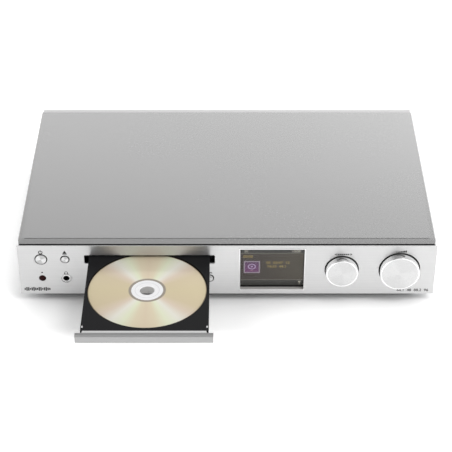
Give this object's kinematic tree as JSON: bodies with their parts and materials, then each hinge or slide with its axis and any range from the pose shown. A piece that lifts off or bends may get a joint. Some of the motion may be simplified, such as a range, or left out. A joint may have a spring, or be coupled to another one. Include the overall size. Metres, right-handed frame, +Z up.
{
  "type": "cd player",
  "caption": "Full-width CD player with a radio display: a front disc drawer on a geared loader, round buttons, two turning knobs and a folded steel case on four feet.",
  "frame": {"origin": "on the table under the middle of the whole player with its drawer open", "axes": "+X right along the front, +Y from the front to the back, +Z up"},
  "size_m": [0.4378, 0.409, 0.0715],
  "materials": {
    "zinc_steel": "galvanised sheet",
    "cover_paint": "satin silver-grey paint",
    "rear_paint": "light silver paint",
    "brushed_aluminium": "horizontally brushed, anodised",
    "black_plastic": "fine texture",
    "foot_plastic": "satin",
    "screw_steel": "zinc plated",
    "bright_trim": "polished",
    "window_clear": "polished",
    "display_glass": "lit colour display",
    "red_lens": "dark red tinted",
    "led_clear": "smoked",
    "circuit_board": "solder mask",
    "knob_aluminium": "spun face, polished edge",
    "steel_shaft": "ground",
    "white_plastic": "natural acetal",
    "tray_plastic": "fine texture",
    "silver_plastic": "satin silver paint",
    "disc_foil": "rainbow diffraction",
    "loader_plastic": "moulded",
    "motor_steel": "plated can",
    "belt_rubber": "smooth",
    "chip_plastic": "moulded epoxy",
    "tin_shield": "tinned",
    "brown_board": "phenolic paper",
    "transformer_tape": "polyester tape",
    "gold_plate": "gold plated",
    "button_metal": "satin"
  },
  "bodies": {
    "housing": {"bottom_chassis": "zinc_steel", "top_cover": "cover_paint", "rear_panel": "rear_paint", "fascia": "brushed_aluminium", "front_frame": "black_plastic", "feet": "foot_plastic", "foot_screws": "screw_steel", "cover_screws": "screw_steel", "display_bezel": "bright_trim", "display_window": "window_clear", "display_module": "display_glass", "ir_window": "red_lens", "ir_receiver": "black_plastic", "standby_led": "led_clear", "headphone_jack": "black_plastic", "headphone_ring": "bright_trim", "tact_switches": "black_plastic", "control_board": "circuit_board", "knob_board": "circuit_board", "tuning_encoder": "zinc_steel", "volume_encoder": "zinc_steel", "loader_frame": "loader_plastic", "clamp_bridge": "zinc_steel", "loading_motor": "motor_steel", "drive_belt": "belt_rubber", "main_board": "circuit_board", "board_chips": "chip_plastic", "radio_module": "tin_shield", "power_board": "brown_board", "power_transformer": "transformer_tape", "mains_inlet": "black_plastic", "line_out_jacks": "gold_plate", "antenna_socket": "bright_trim"},
    "drawer": {"disc_tray": "tray_plastic", "drawer_front": "silver_plastic"},
    "disc": {"compact_disc": "disc_foil"},
    "power": {"power_button": "button_metal"},
    "eject": {"eject_button": "button_metal"},
    "menu": {"menu_button": "button_metal"},
    "stop": {"stop_button": "button_metal"},
    "previous": {"previous_button": "button_metal"},
    "play": {"play_button": "button_metal"},
    "next": {"next_button": "button_metal"},
    "tuning_push": {"tuning_plunger": "white_plastic"},
    "tuning": {"tuning_knob": "knob_aluminium", "tuning_shaft": "steel_shaft"},
    "volume": {"volume_knob": "knob_aluminium", "volume_shaft": "steel_shaft"},
    "drive_gear": {"drive_gear": "white_plastic"},
    "pulley_gear": {"pulley_gear": "white_plastic"},
    "motor_pulley": {"motor_pulley": "white_plastic"},
    "traverse": {"traverse_frame": "loader_plastic", "spindle_motor": "motor_steel", "guide_rods": "steel_shaft", "feed_motor": "motor_steel"},
    "lift_cam": {"lift_cam": "white_plastic"},
    "turntable": {"turntable": "loader_plastic"},
    "sled": {"pickup_sled": "loader_plastic"},
    "feed_screw": {"feed_screw": "steel_shaft"},
    "clamp": {"clamp_puck": "white_plastic"}
  },
  "joints": [
    {"name": "drawer_slide", "type": "slide", "parent": "housing", "child": "drawer", "axis": [0, 1, 0], "range_m": [0, 0.128]},
    {"name": "disc_spin", "type": "hinge", "parent": "drawer", "child": "disc", "pos_m": [-0.0804, -0.1311, 0.0554], "axis": [0, 0, 1], "continuous": true},
    {"name": "power_press", "type": "slide", "parent": "housing", "child": "power", "axis": [0, 1, 0], "range_m": [0, 0.0005], "stiffness_N_per_m": 2000},
    {"name": "eject_press", "type": "slide", "parent": "housing", "child": "eject", "axis": [0, 1, 0], "range_m": [0, 0.0005], "stiffness_N_per_m": 2000},
    {"name": "menu_press", "type": "slide", "parent": "housing", "child": "menu", "axis": [0, 1, 0], "range_m": [0, 0.0005], "stiffness_N_per_m": 2000},
    {"name": "stop_press", "type": "slide", "parent": "housing", "child": "stop", "axis": [0, 1, 0], "range_m": [0, 0.0005], "stiffness_N_per_m": 2000},
    {"name": "previous_press", "type": "slide", "parent": "housing", "child": "previous", "axis": [0, 1, 0], "range_m": [0, 0.0005], "stiffness_N_per_m": 2000},
    {"name": "play_press", "type": "slide", "parent": "housing", "child": "play", "axis": [0, 1, 0], "range_m": [0, 0.0005], "stiffness_N_per_m": 2000},
    {"name": "next_press", "type": "slide", "parent": "housing", "child": "next", "axis": [0, 1, 0], "range_m": [0, 0.0005], "stiffness_N_per_m": 2000},
    {"name": "tuning_push", "type": "slide", "parent": "housing", "child": "tuning_push", "axis": [0, 1, 0], "range_m": [0, 0.0005], "stiffness_N_per_m": 3000},
    {"name": "tuning_turn", "type": "hinge", "parent": "tuning_push", "child": "tuning", "pos_m": [0.1198, -0.0765, 0.0409], "axis": [0, -1, 0], "continuous": true},
    {"name": "volume_turn", "type": "hinge", "parent": "housing", "child": "volume", "pos_m": [0.18, -0.0765, 0.0409], "axis": [0, -1, 0], "continuous": true},
    {"name": "drive_gear_turn", "type": "hinge", "parent": "housing", "child": "drive_gear", "pos_m": [-0.0464, -0.0515, 0.049], "axis": [0, 0, 1], "range_deg": [0, 739]},
    {"name": "pulley_gear_turn", "type": "hinge", "parent": "housing", "child": "pulley_gear", "pos_m": [-0.0664, -0.0515, 0.045], "axis": [0, 0, 1], "range_deg": [-1891, 0]},
    {"name": "motor_turn", "type": "hinge", "parent": "housing", "child": "motor_pulley", "pos_m": [-0.1024, -0.0465, 0.042], "axis": [0, 0, 1], "range_deg": [-8178, 0]},
    {"name": "traverse_tilt", "type": "hinge", "parent": "housing", "child": "traverse", "pos_m": [-0.0804, 0.0829, 0.0435], "axis": [-1, 0, 0], "range_deg": [0, 3.5]},
    {"name": "lift_cam_slide", "type": "slide", "parent": "housing", "child": "lift_cam", "axis": [1, 0, 0], "range_m": [0, 0.00703]},
    {"name": "turntable_spin", "type": "hinge", "parent": "traverse", "child": "turntable", "pos_m": [-0.0804, -0.00328, 0.04374], "axis": [0, -0.061, 0.9981], "continuous": true},
    {"name": "sled_slide", "type": "slide", "parent": "traverse", "child": "sled", "axis": [0, 0.9981, 0.061], "range_m": [0, 0.033]},
    {"name": "feed_screw_turn", "type": "hinge", "parent": "traverse", "child": "feed_screw", "pos_m": [-0.0474, 0.02336, 0.04397], "axis": [0, 0.9981, 0.061], "range_deg": [0, 3965]},
    {"name": "clamp_spin", "type": "hinge", "parent": "housing", "child": "clamp", "pos_m": [-0.0804, -0.0031, 0.061], "axis": [0, 0, 1], "continuous": true}
  ],
  "couplings": [
    {"joint": "drive_gear_turn", "follows": "drawer_slide", "rad_per_m": 100},
    {"joint": "pulley_gear_turn", "follows": "drawer_slide", "rad_per_m": -257.14},
    {"joint": "motor_turn", "follows": "drawer_slide", "rad_per_m": -1114.3},
    {"joint": "lift_cam_slide", "follows": "traverse_tilt", "m_per_rad": 0.11475},
    {"joint": "feed_screw_turn", "follows": "sled_slide", "rad_per_m": 2094.4}
  ]
}
